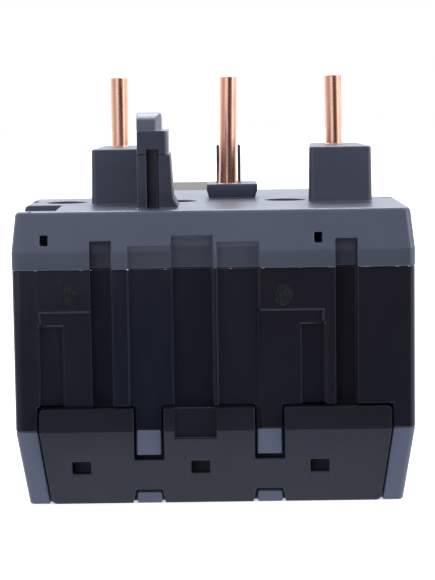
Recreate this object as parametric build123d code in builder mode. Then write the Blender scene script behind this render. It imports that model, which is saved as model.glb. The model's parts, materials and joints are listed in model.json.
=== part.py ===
from build123d import *
import math
import os

# Thermal overload relay that plugs under a three-pole contactor.
# Millimetres. +X runs across the poles, +Y from the mounting side to the operator's side, +Z up
# to the contactor. Origin: middle of the bottom face.

# Overall sizes
body_width = 75.5
body_depth = 100.0
rear_y = -body_depth / 2
front_y = body_depth / 2
half_width = body_width / 2
wall = 1.8
joint_gap = 0.3
running_gap = 0.06
slide_gap = 0.2

# Heights of the stacked mouldings
base_floor = 2.0
base_rear_height = 14.1
base_front_height = 20.0
parting_z = 44.6
crease_z = 47.9
top_z = 55.5
pin_top_z = 80.5

# Poles
pole_pitch = 22.0
middle_pin_x = 3.1
pin_diameter = 3.4
pin_y = rear_y + 39.5
pole_names = ("left", "middle", "right")
pole_x = [middle_pin_x + (i - 1) * pole_pitch for i in range(3)]

# Depths of the stacked mouldings
housing_rear_y = rear_y + 0.7
housing_front_y = front_y - 16.0
terminal_front_y = front_y - 12.0
step_y = terminal_front_y - 33.0
base_rear_top_y = rear_y + 0.9
base_rear_bottom_y = rear_y + 1.8
base_side_draft = 2.35
plateau_front_y = front_y - 30.0
head_front_y = front_y - 2.0

# Rear wall of the housing and its flutes: x low, x high, depth
rear_wall = 5.0
flutes = ((-23.05, -19.17, 2.6), (-16.1, -7.8, 0.8), (-7.8, -0.2, 2.3), (0.6, 8.5, 0.8), (22.8, 26.8, 2.6))
flute_tops = (50.0, 49.0, 50.85, 49.6, 50.0)

# Bimetal chambers
bimetal_offset = 8.5
bimetal_thickness = 1.2
bimetal_breadth = 8.0
bimetal_y = rear_y + 21.0
bimetal_pivot_z = 42.0
bimetal_tip_z = 17.2
eye_radius = 1.2
partition = 1.2
partition_offset = 5.2
strap_thickness = 1.5
strap_width = 7.8
shelf_top_z = 43.6
shelf_thickness = 2.6
adjuster_y = rear_y + 30.5
adjuster_x = [-7.4 + (i - 1) * pole_pitch for i in range(3)]
adjuster_hole = 8.3

# Trip bars and trip lever
bar_bottom_z = 18.2
bar_height = 3.8
finger_thickness = 1.5
finger_gap = 0.4
push_bar_y = (bimetal_y - 7.5, bimetal_y - 5.0)
return_bar_y = (bimetal_y + 5.0, bimetal_y + 7.5)
lever_shaft_x = half_width - 4.55
lever_shaft_z = 40.0
lever_shaft_diameter = 3.0
lever_arm_x = (lever_shaft_x - 1.4, lever_shaft_x - 0.4)
bar_end_x = lever_shaft_x - 1.8

# Power terminals
load_bar_width = 8.0
load_bar_thickness = 1.8
load_bar_z = 3.0
load_bar_rise_y = step_y - 9.0
load_bar_high_z = base_front_height - 3.8
tongue_y = terminal_front_y - 19.5
tongue_bottom_z = 3.6
screw_z = base_front_height / 2
power_screw_diameter = 6.0
power_head_diameter = 9.0
power_head_length = 5.0
clamp_width = 14.0
clamp_wall = 1.4
clamp_bottom_z = 5.0
clamp_height = base_front_height - 10.0
clamp_back_y = step_y + 1.9
clamp_boss = 2.2
driver_hole = 7.2
entry_width = 10.8
entry_y = (step_y + 3.6, step_y + 13.2)

# Auxiliary terminals
aux_width = body_width - 9.5
aux_pitch = aux_width / 4
aux_x = [(i - 1.5) * aux_pitch for i in range(4)]
aux_top_z = base_front_height + 13.0
aux_front_y = front_y - 3.5
aux_screw_z = base_front_height + 7.0
aux_screw_diameter = 3.5
aux_head_diameter = 6.4
aux_plate_y = housing_front_y + 3.0
aux_plate_thickness = 1.2
aux_travel = 2.2
aux_bay_width = 11.0
aux_entry = 5.6
aux_tail_width = 4.0
aux_tail_z = base_front_height + 10.6

# Control head
head_width = body_width - 9.5
head_top_z = top_z - 3.5
head_wall = 2.0
dial_x = -4.4
dial_z = head_top_z - 9.0
dial_diameter = 15.0
dial_shaft_diameter = 4.9
dial_well = 2.2
cover_width = 21.0
cover_hinge_y = front_y - 3.2
cover_hinge_z = head_top_z + 2.6
cover_barrel_radius = 1.6
cover_pin_radius = 0.8
cover_bottom_z = head_top_z - 16.6
stop_x = 22.0
stop_z = head_top_z - 5.8
test_z = head_top_z - 14.4
reset_x = -21.5
reset_z = head_top_z - 9.0
button_travel = 2.0
flag_x = 13.0

# Housing screws: one group of four, driven from below
rear_screw_x = half_width - 6.75
front_screw_y = step_y + 7.0
screw_places = (
    (-rear_screw_x, rear_y + 9.5),
    (rear_screw_x, rear_y + 9.5),
    (pole_x[0] + pole_pitch / 2, front_screw_y),
    (pole_x[1] + pole_pitch / 2, front_screw_y),
)
housing_screw_radius = 1.45
housing_screw_head = 2.8
screw_boss_radius = 3.4
screw_tip_z = 26.0
screw_head_z = (0.5, 2.6)

# Rear plate
plate_thickness = 2.0
plate_top_z = 18.3
plate_crease_z = 14.0
plate_edge_top = half_width - 4.55
plate_edge_bottom = half_width - 6.55
plate_notch_x = (-12.6, 10.2)
plate_notch_width = 5.6
plate_notch_z = 8.45
lower_notch_width = 4.9
lower_notch_z = 2.6
tongue_width = 4.7
notch_tongue_z = 9.3
plate_hole_x = (-25.4, -2.9, 19.6)
plate_hole = (3.5, 2.4)
plate_hole_z = 7.0
plate_slant = 1.6
plate_seat_y = rear_y + plate_slant + plate_thickness

# Shallow panels of the housing's rear face: width, ledge height, width of the recess
rear_panels = (
    ((-32.7, -23.05), 36.65, (-33.0, -28.4)),
    ((8.5, 20.5), 36.65, (16.3, 20.8)),
)

# Top cover
shoulder_left = (-half_width + 11.75, rear_y + 44.0)
shoulder_right = (half_width - 5.95, rear_y + 37.0)
cover_lean_side = 0.75
cover_lean_rear = 1.9
roof = 2.0
sleeve_width = (9.4, 12.1)
sleeve_y = (rear_y + 20.5, rear_y + 44.0)
sleeve_side_angle = 87.0
sleeve_top_z = 66.4
collar_width = 10.4
collar_x = middle_pin_x + 0.85
collar_top_z = 58.5
collar_band = 1.3
collar_inset = 0.5
collar_y = (rear_y + 36.0, rear_y + 47.5)
shield_top_z = 66.3
pin_mouth_z = (sleeve_top_z, collar_top_z, sleeve_top_z)
shank_diameter = 3.8
shield_width = 5.0
shield_wall = 0.6

# Mounting hook
hook_x = (-14.3, -7.7)
hook_y = (rear_y + 7.0, rear_y + 19.5)
hook_step_z = 65.7
hook_block_z = 70.2
hook_nose_z = 73.5
hook_slot_x = (-12.4, -10.2)
hook_nose_width = 4.6
hook_nose_setback = 0.4
hook_overhang = 0.2

# Bimetal, its holder and the heater wound round it
holder_width = 8.0
heater_turns = 5
heater_pitch = 3.0
heater_ribbon = (0.6, 1.8)
heater_low_z = 24.0
heater_room = (1.2, 2.7)
heater_tail_x = 5.0
heater_tail_width = 4.0

# Contact lever and contacts
contact_pivot_x = 8.0
contact_pivot_z = 37.6
contact_touch_x = 21.0
contact_reach = -7.0
contact_depth = (housing_front_y - 12.5, housing_front_y - 6.5)
contact_hub = 3.2
contact_pin_radius = 1.5

button_gap = 0.12
ear_inside = 7.9

cam_y = head_front_y - 11.4
cam_thickness = 2.4
cam_radius = 3.8
cam_rise = 1.6

# Springs behind the buttons
spring_wire = 0.55
spring_turns = 5
spring_seat_y = housing_front_y + 1.4
stem_radius = 1.4

os.makedirs("parts", exist_ok=True)


def finish(builder, name):
    builder.part.label = name
    export_step(builder.part, f"parts/{name}.step")


def block(x, y, z, mode=Mode.ADD):
    # box from its low and high limits on each axis
    with Locations(((x[0] + x[1]) / 2, (y[0] + y[1]) / 2, (z[0] + z[1]) / 2)):
        Box(x[1] - x[0], y[1] - y[0], z[1] - z[0], mode=mode)


def around(centre, width):
    return (centre - width / 2, centre + width / 2)


def rod(x, z, y, radius, mode=Mode.ADD):
    # round bar or bore lying along Y
    with Locations(Location((x, (y[0] + y[1]) / 2, z), (90, 0, 0))):
        Cylinder(radius, y[1] - y[0], mode=mode)


def post(x, y, z, radius, mode=Mode.ADD):
    # round bar or bore standing along Z
    with Locations((x, y, (z[0] + z[1]) / 2)):
        Cylinder(radius, z[1] - z[0], mode=mode)


def make_terminal_base():
    inner = half_width - wall - base_side_draft
    with BuildPart() as base:
        with BuildSketch(Plane.XY):
            with Locations((0, (base_rear_bottom_y + terminal_front_y) / 2)):
                foot_width = body_width - 2 * base_side_draft
                RectangleRounded(foot_width, terminal_front_y - base_rear_bottom_y, 1.2)
        with BuildSketch(Plane.XY.offset(base_rear_height)):
            with Locations((0, (base_rear_top_y + terminal_front_y) / 2)):
                RectangleRounded(body_width, terminal_front_y - base_rear_top_y, 1.2)
        loft()
        with BuildSketch(Plane.XY.offset(base_rear_height)):
            with Locations((0, (step_y + terminal_front_y) / 2)):
                RectangleRounded(body_width, terminal_front_y - step_y, 1.2)
        extrude(amount=base_front_height - base_rear_height)
        # shallow seat for the rear plate, with the plate's own outline
        seat_edge_top = plate_edge_top + joint_gap
        seat_edge_bottom = plate_edge_bottom + joint_gap
        with BuildSketch(Plane.XZ.offset(-plate_seat_y)):
            with BuildLine():
                Polyline(
                    (-seat_edge_top, base_rear_height),
                    (-seat_edge_bottom, 0),
                    (seat_edge_bottom, 0),
                    (seat_edge_top, base_rear_height),
                    close=True,
                )
            make_face()
        extrude(amount=plate_seat_y - rear_y + 1, mode=Mode.SUBTRACT)
        # tray under the bimetal chambers
        tray_y = (plate_seat_y + 3.7, step_y - 2.0)
        block((-inner, inner), tray_y, (base_floor, base_rear_height), Mode.SUBTRACT)
        # three open-topped terminal compartments, each with its bar slot, cable entry and driver hole
        for x in pole_x:
            bay = around(x, clamp_width + 2 * joint_gap)
            block(bay, (step_y + 1.4, terminal_front_y - 2.5), (base_floor, base_front_height), Mode.SUBTRACT)
            slot = around(x, load_bar_width + 2 * joint_gap)
            slot_z = (load_bar_high_z - joint_gap, base_front_height)
            block(slot, (step_y - 2.0, step_y + 1.4), slot_z, Mode.SUBTRACT)
            block(around(x, entry_width), entry_y, (0, base_floor), Mode.SUBTRACT)
            rod(x, screw_z, (terminal_front_y - 2.5, terminal_front_y), driver_hole / 2, Mode.SUBTRACT)
            # rest for the bar, and the cross rib that carries the trip bars
            block(around(x, load_bar_width + 2), (bimetal_y - 2, bimetal_y + 2), (base_floor, load_bar_z))
            rest_y = (load_bar_rise_y - 5.0, load_bar_rise_y - 3.0)
            block(around(x, load_bar_width + 2), rest_y, (base_floor, load_bar_z))
            rib_x = around(x + partition_offset, partition)
            rib_y = (push_bar_y[0] - 0.6, return_bar_y[1] + 0.6)
            block(rib_x, rib_y, (base_floor, bar_bottom_z - slide_gap))
        # screw pillars and their counterbores
        for x, y in screw_places[:2]:
            post(x, y, (base_floor, base_rear_height), screw_boss_radius)
        for x, y in screw_places:
            post(x, y, (0, base_front_height), housing_screw_radius + running_gap, Mode.SUBTRACT)
            post(x, y, (0, screw_head_z[1]), housing_screw_head + slide_gap, Mode.SUBTRACT)
        # rear tongues that show through the upper notches of the rear plate
        for x in plate_notch_x:
            tongue_x = around(x, tongue_width)
            block(tongue_x, (rear_y + 1.0, plate_seat_y + 1), (notch_tongue_z, base_rear_height))
            block(tongue_x, (rear_y + plate_slant, plate_seat_y + 1), (0, lower_notch_z - 0.5))
    finish(base, "terminal_base")


def make_rear_plate():
    middle = sum(plate_notch_x) / 2
    with BuildPart() as plate:
        # side profile: upright band above the crease, leaning in below it
        with BuildSketch(Plane.YZ.offset(-plate_edge_top)):
            with BuildLine():
                Polyline(
                    (rear_y, plate_top_z),
                    (rear_y, plate_crease_z),
                    (rear_y + plate_slant, 0),
                    (rear_y + plate_slant + plate_thickness - 0.3, 0),
                    (rear_y + plate_thickness, plate_crease_z),
                    (rear_y + plate_thickness, plate_top_z),
                    close=True,
                )
            make_face()
        extrude(amount=2 * plate_edge_top)
        # front outline: sides lean in below the crease, notches top and bottom
        with BuildSketch(Plane.XZ.offset(-rear_y + 1)) as outline:
            with BuildLine():
                Polyline(
                    (-plate_edge_top, plate_top_z),
                    (-plate_edge_top, plate_crease_z),
                    (-plate_edge_bottom, 0),
                    (plate_edge_bottom, 0),
                    (plate_edge_top, plate_crease_z),
                    (plate_edge_top, plate_top_z),
                    close=True,
                )
            make_face()
            fillet(outline.vertices().group_by(Axis.Y)[-1], 0.9)
            fillet(outline.vertices().group_by(Axis.Y)[0], 1.2)
            for x in plate_notch_x:
                with Locations((x, (plate_notch_z + plate_top_z) / 2)):
                    Rectangle(plate_notch_width, plate_top_z - plate_notch_z, mode=Mode.SUBTRACT)
                with Locations((x - 0.1, lower_notch_z / 2)):
                    Trapezoid(lower_notch_width + 1.2, lower_notch_z, 77, mode=Mode.SUBTRACT)
        extrude(amount=-(plate_slant + plate_thickness + 2), mode=Mode.INTERSECT)
        for x in plate_hole_x:
            hole_z = around(plate_hole_z, plate_hole[1])
            block(around(x, plate_hole[0]), (rear_y - 1, rear_y + 6), hole_z, Mode.SUBTRACT)
        # the middle pocket carries the deep flute on into the plate
        block((-7.7, 0.1), (rear_y - 1, rear_y + 1.2), (plate_crease_z - 1.5, plate_top_z), Mode.SUBTRACT)
    finish(plate, "rear_plate")


def make_main_housing():
    inner = half_width - wall
    with BuildPart() as housing:
        # outer block, stepped up at the front to clear the terminal compartments
        with BuildSketch(Plane.YZ.offset(-half_width)):
            with BuildLine():
                Polyline(
                    (housing_rear_y, base_rear_height),
                    (step_y, base_rear_height),
                    (step_y, base_front_height),
                    (housing_front_y, base_front_height),
                    (housing_front_y, parting_z),
                    (housing_rear_y, parting_z),
                    close=True,
                )
            make_face()
        extrude(amount=body_width)
        fillet(housing.edges().filter_by(Axis.Z).group_by(Axis.Y)[0], 1.5)
        # hollow, with a floor only over the terminal compartments
        cavity_y = (housing_rear_y + rear_wall, housing_front_y - wall)
        block((-inner, inner), cavity_y, (base_front_height + 1.5, parting_z), Mode.SUBTRACT)
        block((-inner, inner), (cavity_y[0], step_y - wall), (base_rear_height, parting_z), Mode.SUBTRACT)
        # slots that let the load bars through to the terminals
        slot_top = load_bar_high_z + load_bar_thickness + joint_gap
        for x in pole_x:
            slot = around(x, load_bar_width + 2 * joint_gap)
            block(slot, (step_y - wall - 0.1, step_y), (base_rear_height, slot_top), Mode.SUBTRACT)
        # walls between the chambers, notched for the trip bars
        for x in pole_x:
            wall_x = around(x + partition_offset, partition)
            block(wall_x, (cavity_y[0], step_y - wall), (base_rear_height, parting_z))
            notch_y = (push_bar_y[0] - 0.8, return_bar_y[1] + 0.8)
            block(wall_x, notch_y, (base_rear_height, bar_bottom_z + bar_height + 1), Mode.SUBTRACT)
        # shelf that carries the bimetal holders and the pin straps
        shelf_x = (-inner, pole_x[2] + partition_offset)
        block(shelf_x, (adjuster_y - 3.5, pin_y + 3.6), (shelf_top_z - shelf_thickness, shelf_top_z))
        for x in adjuster_x:
            post(x, adjuster_y, (shelf_top_z - shelf_thickness, shelf_top_z), 1.95, Mode.SUBTRACT)
        # screw bosses
        for x, y in screw_places[:2]:
            post(x, y, (base_rear_height, screw_tip_z + 2), screw_boss_radius)
            web_x = sorted((x, math.copysign(inner + 0.5, x)))
            block(web_x, around(y, 2.4), (base_rear_height, screw_tip_z + 2))
        for x, y in screw_places[2:]:
            post(x, y, (base_front_height, screw_tip_z + 2), screw_boss_radius)
        for x, y in screw_places:
            post(x, y, (base_rear_height, screw_tip_z + 0.4), housing_screw_radius + 0.02, Mode.SUBTRACT)
        # bearings of the trip lever and the pivot of the contact lever
        shaft_bore = lever_shaft_diameter / 2 + running_gap
        rod(lever_shaft_x, lever_shaft_z, (cavity_y[0] - 2.0, cavity_y[0]), shaft_bore, Mode.SUBTRACT)
        rod(lever_shaft_x, lever_shaft_z, (cavity_y[1], cavity_y[1] + 1.2), shaft_bore, Mode.SUBTRACT)
        rod(contact_pivot_x, contact_pivot_z, (contact_depth[0] - 1.5, cavity_y[1] + 0.5), contact_pin_radius)
        # holes for the reset stem and the terminal tails
        rod(reset_x, reset_z, (cavity_y[1], housing_front_y), stem_radius + 0.3, Mode.SUBTRACT)
        for x in aux_x:
            tail_x = around(x, aux_tail_width + 2 * slide_gap)
            tail_z = around(aux_tail_z, aux_plate_thickness + 0.4)
            block(tail_x, (cavity_y[1], housing_front_y), tail_z, Mode.SUBTRACT)
        # fluted rear face
        for (x0, x1, depth) in flutes:
            flute_y = (housing_rear_y - 1, housing_rear_y + depth)
            block((x0, x1), flute_y, (base_rear_height, parting_z), Mode.SUBTRACT)
        # rebates that take the upper band of the rear plate, between its notches
        rebate_y = (housing_rear_y - 1, rear_y + plate_thickness + joint_gap)
        half_notch = plate_notch_width / 2 - joint_gap
        side = plate_edge_top + joint_gap
        for rebate_x in (
            (-side, plate_notch_x[0] - half_notch),
            (plate_notch_x[0] + half_notch, plate_notch_x[1] - half_notch),
            (plate_notch_x[1] + half_notch, side),
        ):
            block(rebate_x, rebate_y, (base_rear_height, plate_top_z + 0.4), Mode.SUBTRACT)
        # shallow panels with their ledges
        for panel, ledge, recess in rear_panels:
            block(panel, (housing_rear_y - 1, housing_rear_y + 0.5), (base_rear_height, ledge), Mode.SUBTRACT)
            block(recess, (housing_rear_y - 1, housing_rear_y + 1.4), (base_rear_height, 34.0), Mode.SUBTRACT)
    finish(housing, "main_housing")


def make_top_cover():
    with BuildPart() as cover:
        with BuildSketch(Plane.XY.offset(parting_z)):
            with Locations((0, (rear_y + housing_front_y) / 2)):
                RectangleRounded(body_width, housing_front_y - rear_y, 1.6)
        extrude(amount=crease_z - parting_z)
        # leaning upper part up to the top plane
        with BuildSketch(Plane.XY.offset(crease_z)):
            with Locations((0, (rear_y + plateau_front_y) / 2)):
                RectangleRounded(body_width, plateau_front_y - rear_y, 1.6)
        with BuildSketch(Plane.XY.offset(top_z)):
            with Locations((0, (rear_y + cover_lean_rear + plateau_front_y) / 2)):
                RectangleRounded(
                    body_width - 2 * cover_lean_side, plateau_front_y - rear_y - cover_lean_rear, 1.6
                )
        loft()
        # shoulders step down beside the plateau
        side = half_width + 1
        step_z = (crease_z, top_z + 1)
        block((-side, shoulder_left[0]), (shoulder_left[1], plateau_front_y + 1), step_z, Mode.SUBTRACT)
        block((shoulder_right[0], side), (shoulder_right[1], plateau_front_y + 1), step_z, Mode.SUBTRACT)
        fillet(cover.faces().sort_by(Axis.Z)[-1].edges(), 0.9)
        # space for the control head
        block(
            around(0, head_width + 2 * slide_gap),
            (plateau_front_y, housing_front_y + 1),
            (parting_z - 1, crease_z + 1),
            Mode.SUBTRACT,
        )
        # hollow underside
        inner = half_width - wall
        hollow_rear = rear_y + rear_wall
        plateau_roof = (parting_z, top_z - roof)
        block((-inner + 1, inner - 1), (hollow_rear, shoulder_right[1] - wall), plateau_roof, Mode.SUBTRACT)
        block(
            (shoulder_left[0] + wall, shoulder_right[0] - wall),
            (hollow_rear, plateau_front_y - wall),
            plateau_roof,
            Mode.SUBTRACT,
        )
        shoulder_roof = (parting_z, crease_z - 1.6)
        block((-inner, inner), (hollow_rear, plateau_front_y - wall), shoulder_roof, Mode.SUBTRACT)
        block((-inner, shoulder_left[0]), (hollow_rear, housing_front_y - wall), shoulder_roof, Mode.SUBTRACT)
        block((shoulder_right[0], inner), (hollow_rear, housing_front_y - wall), shoulder_roof, Mode.SUBTRACT)
        # flutes run up from the housing into the rear face
        for (x0, x1, depth), flute_top in zip(flutes, flute_tops):
            with BuildSketch(Plane.YZ.offset(x0)):
                floor_y = housing_rear_y + depth
                bend_z = flute_top - min(depth, 2.4) - 0.5
                lip_y = rear_y + cover_lean_rear * (flute_top - crease_z) / (top_z - crease_z) - 0.2
                with BuildLine():
                    Polyline((rear_y - 1, parting_z), (floor_y, parting_z), (floor_y, bend_z))
                    ThreePointArc(
                        (floor_y, bend_z),
                        (floor_y - 0.3 * (floor_y - lip_y), bend_z + 0.7 * (flute_top - bend_z)),
                        (lip_y, flute_top),
                    )
                    Polyline((lip_y, flute_top), (rear_y - 1, flute_top), (rear_y - 1, parting_z))
                make_face()
            extrude(amount=x1 - x0, mode=Mode.SUBTRACT)
        # insulating sleeves of the outer pins
        for x, width in ((pole_x[0], sleeve_width[0]), (pole_x[2], sleeve_width[1])):
            with BuildSketch(Plane.XY.offset(top_z - roof)) as foot:
                with Locations((x, sum(sleeve_y) / 2)):
                    Trapezoid(width + 0.6, sleeve_y[1] - sleeve_y[0] + 0.6, sleeve_side_angle)
                fillet(foot.vertices(), 1.1)
            extrude(amount=sleeve_top_z - top_z + roof, taper=1.0)
            fillet(cover.faces().sort_by(Axis.Z)[-1].outer_wire().edges(), 0.4)
        # collar of the middle pin, widening from its foot to an upright band, with its open shield
        collar_depth = collar_y[1] - collar_y[0]
        with BuildSketch(Plane.XY.offset(top_z - 0.1)):
            with Locations((collar_x, sum(collar_y) / 2)):
                RectangleRounded(collar_width - 2 * collar_inset, collar_depth - 2 * collar_inset, 0.8)
        with BuildSketch(Plane.XY.offset(collar_top_z - collar_band)):
            with Locations((collar_x, sum(collar_y) / 2)):
                RectangleRounded(collar_width, collar_depth, 0.8)
        loft()
        with BuildSketch(Plane.XY.offset(collar_top_z - collar_band)):
            with Locations((collar_x, sum(collar_y) / 2)):
                RectangleRounded(collar_width, collar_depth, 0.8)
        extrude(amount=collar_band)
        shield_x = around(middle_pin_x + 0.25, shield_width)
        shield_y = (pin_y + 2.4, collar_y[1] - 1.0)
        block((shield_x[0], shield_x[0] + shield_wall), shield_y, (collar_top_z - 0.5, shield_top_z))
        block((shield_x[1] - shield_wall, shield_x[1]), shield_y, (collar_top_z - 0.5, shield_top_z))
        make_hook()
        # pin passages, flared at the mouth of the sleeves
        for x, mouth_z in zip(pole_x, pin_mouth_z):
            post(x, pin_y, (top_z - roof - 1, mouth_z + 1), shank_diameter / 2 + 0.05, Mode.SUBTRACT)
            if mouth_z == sleeve_top_z:
                post(x, pin_y, (mouth_z - 4, mouth_z + 1), shank_diameter / 2 + 0.45, Mode.SUBTRACT)
        # adjuster holes, the latch windows and the coding notches
        for x in adjuster_x:
            post(x, adjuster_y, (top_z - roof - 1, top_z + 1), adjuster_hole / 2, Mode.SUBTRACT)
        for x in (-31.6, 19.6):
            block(around(x, 1.5), (rear_y - 1, rear_y + rear_wall + 1), around(50.15, 1.95), Mode.SUBTRACT)
        notch_z = (top_z - 1.4, top_z + 1)
        block((-side, -half_width + 8.0), (rear_y + 4.5, rear_y + 22.0), notch_z, Mode.SUBTRACT)
        block((-side, -half_width + 2.25), (rear_y + 31.0, rear_y + 36.0), notch_z, Mode.SUBTRACT)
        block((half_width - 3.45, side), (rear_y + 33.0, rear_y + 35.6), notch_z, Mode.SUBTRACT)
    finish(cover, "top_cover")


def make_hook():
    # tapering post, plain block on it, and the rounded nose that grips the contactor
    with BuildSketch(Plane.XZ.offset(-hook_y[0])) as post_profile:
        with BuildLine():
            Polyline(
                (hook_x[0], top_z - roof),
                (hook_x[1] + 1.1, top_z - roof),
                (hook_x[1] + 1.1, top_z + 0.4),
                (hook_x[1] + 0.2, top_z + 2.0),
                (hook_x[1] - 0.25, hook_step_z),
                (hook_x[0], hook_step_z),
                close=True,
            )
        make_face()
    extrude(post_profile.sketch, amount=-(hook_y[1] - hook_y[0]))
    # block with its outer corner cut back, standing a little proud of the post
    front = hook_y[0] - hook_overhang
    block_x = (hook_x[0] + 0.1, hook_x[1] - 0.6)
    with BuildSketch(Plane.XY.offset(hook_step_z)) as block_profile:
        with BuildLine():
            Polyline(
                (block_x[0], front),
                (block_x[1] - 0.5, front),
                (block_x[1], front + 1.2),
                (block_x[1], hook_y[1]),
                (block_x[0], hook_y[1]),
                close=True,
            )
        make_face()
    extrude(block_profile.sketch, amount=hook_block_z - hook_step_z)
    nose_front = hook_y[0] + hook_nose_setback
    nose_back = hook_y[1] - 1.5
    with BuildSketch(Plane.YZ.offset(block_x[0])) as nose_profile:
        with BuildLine():
            Line((nose_front, hook_block_z - 1), (nose_front, hook_nose_z - 1.3))
            ThreePointArc(
                (nose_front, hook_nose_z - 1.3),
                (nose_front + 1.5, hook_nose_z - 0.35),
                (nose_front + 4.3, hook_nose_z),
            )
            Line((nose_front + 4.3, hook_nose_z), (nose_back, hook_nose_z - 0.8))
            Line((nose_back, hook_nose_z - 0.8), (nose_back, hook_block_z - 1))
            Line((nose_back, hook_block_z - 1), (nose_front, hook_block_z - 1))
        make_face()
    extrude(nose_profile.sketch, amount=hook_nose_width)
    nose_right = block_x[0] + hook_nose_width
    with BuildSketch(Plane.XY.offset(hook_block_z)) as nose_corner:
        with BuildLine():
            Polyline(
                (nose_right - 1.0, nose_front - 0.1),
                (nose_right + 0.1, nose_front - 0.1),
                (nose_right + 0.1, nose_front + 3.0),
                close=True,
            )
        make_face()
    extrude(nose_corner.sketch, amount=hook_nose_z - hook_block_z + 1, mode=Mode.SUBTRACT)
    block(hook_slot_x, (hook_y[0] - 1, hook_y[0] + 3.0), (top_z, hook_step_z + 1.0), Mode.SUBTRACT)


def make_pins():
    for name, x, mouth_z in zip(pole_names, pole_x, pin_mouth_z):
        with BuildPart() as pin:
            # strap on the shelf, with the round pin standing on it
            with BuildSketch(Plane.XY.offset(shelf_top_z)):
                with Locations((x, (bimetal_y - 4.0 + pin_y + 3.4) / 2)):
                    RectangleRounded(strap_width, pin_y + 3.4 - bimetal_y + 4.0, 1.0)
            extrude(amount=strap_thickness)
            post(x, pin_y, (shelf_top_z + 0.2, pin_top_z), pin_diameter / 2)
            post(x, pin_y, (shelf_top_z + 0.2, mouth_z), shank_diameter / 2)
            chamfer(pin.edges().filter_by(GeomType.CIRCLE).sort_by(Axis.Z)[-1], 0.25)
        finish(pin, f"line_pin_{name}")


def make_bimetals():
    lug_gap = 0.3
    for name, x, ax in zip(pole_names, pole_x, adjuster_x):
        bx = x - bimetal_offset
        strip_y = around(bimetal_y, bimetal_breadth)
        with BuildPart() as strip:
            block(around(bx, bimetal_thickness), strip_y, (bimetal_tip_z, bimetal_pivot_z))
            rod(bx, bimetal_pivot_z, (strip_y[0] - 1.7, strip_y[1] + 1.7), eye_radius)
        finish(strip, f"bimetal_{name}")
        with BuildPart() as holder:
            plate_y = (strip_y[0] - lug_gap - 1.5, adjuster_y + 3.5)
            block(around(bx, holder_width), plate_y, (shelf_top_z, shelf_top_z + strap_thickness))
            for lug_y in (
                (strip_y[0] - lug_gap - 1.5, strip_y[0] - lug_gap),
                (strip_y[1] + lug_gap, strip_y[1] + lug_gap + 1.5),
            ):
                block(around(bx, 5.0), lug_y, (bimetal_pivot_z - 2.2, shelf_top_z))
            bore = eye_radius + running_gap
            rod(bx, bimetal_pivot_z, (strip_y[0] - 3, strip_y[1] + 3), bore, Mode.SUBTRACT)
            post(ax, adjuster_y, (shelf_top_z, shelf_top_z + strap_thickness), 2.05, Mode.SUBTRACT)
        finish(holder, f"bimetal_holder_{name}")
        with BuildPart() as heater:
            thick, high = heater_ribbon
            inside_x = (bx - heater_room[0], bx + heater_room[1])
            inside_y = around(bimetal_y, bimetal_breadth + 1.4)
            for turn in range(heater_turns):
                z = heater_low_z + turn * heater_pitch
                with BuildSketch(Plane.XY.offset(z)):
                    with Locations((sum(inside_x) / 2, bimetal_y)):
                        RectangleRounded(
                            inside_x[1] - inside_x[0] + 2 * thick, inside_y[1] - inside_y[0] + 2 * thick, 1.4
                        )
                        RectangleRounded(
                            inside_x[1] - inside_x[0], inside_y[1] - inside_y[0], 0.9, mode=Mode.SUBTRACT
                        )
                extrude(amount=high)
                if turn < heater_turns - 1:
                    # short crossover to the next turn, on alternate sides
                    link_y = inside_y[0] + 2.4 if turn % 2 else inside_y[1] - 2.4
                    link_x = (inside_x[0] - thick, inside_x[0])
                    block(link_x, around(link_y, 2.0), (z + high, z + heater_pitch))
            tail_x = (bx + heater_tail_x, bx + heater_tail_x + 0.8)
            tail_y = around(bimetal_y, heater_tail_width)
            top_z_of_turns = heater_low_z + (heater_turns - 1) * heater_pitch
            for z in (heater_low_z, top_z_of_turns):
                block((inside_x[1], tail_x[1]), tail_y, (z, z + high))
            block(tail_x, tail_y, (load_bar_z + load_bar_thickness, heater_low_z + high))
            block(tail_x, tail_y, (top_z_of_turns, shelf_top_z))
        finish(heater, f"heater_{name}")


def make_adjusters():
    with BuildPart() as screws:
        for x in adjuster_x:
            post(x, adjuster_y, (shelf_top_z - 5.0, shelf_top_z + strap_thickness), 1.95)
            post(x, adjuster_y, (shelf_top_z + strap_thickness, shelf_top_z + strap_thickness + 2.6), 3.2)
            slot_z = shelf_top_z + strap_thickness + 2.6
            block(around(x, 7.0), around(adjuster_y, 1.0), (slot_z - 1.2, slot_z + 0.1), Mode.SUBTRACT)
    finish(screws, "calibration_screws")


def make_load_bars():
    rear_end = bimetal_y - 3.0
    for name, x in zip(pole_names, pole_x):
        with BuildPart() as bar:
            # flat bar along the base floor, stepped up over the clamp and bent down into it
            thick = load_bar_thickness
            with BuildSketch(Plane.YZ.offset(x - load_bar_width / 2)):
                with BuildLine():
                    Polyline(
                        (rear_end, load_bar_z),
                        (load_bar_rise_y, load_bar_z),
                        (load_bar_rise_y, load_bar_high_z),
                        (tongue_y, load_bar_high_z),
                        (tongue_y, tongue_bottom_z),
                        (tongue_y + thick, tongue_bottom_z),
                        (tongue_y + thick, load_bar_high_z + thick),
                        (load_bar_rise_y - thick, load_bar_high_z + thick),
                        (load_bar_rise_y - thick, load_bar_z + thick),
                        (rear_end, load_bar_z + thick),
                        close=True,
                    )
                make_face()
            extrude(amount=load_bar_width)
            corners = bar.edges().filter_by(Axis.X)
            outer_corners = corners.group_by(Axis.Z)[-1]
            fillet(outer_corners, 1.0)
        finish(bar, f"load_bar_{name}")


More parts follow.
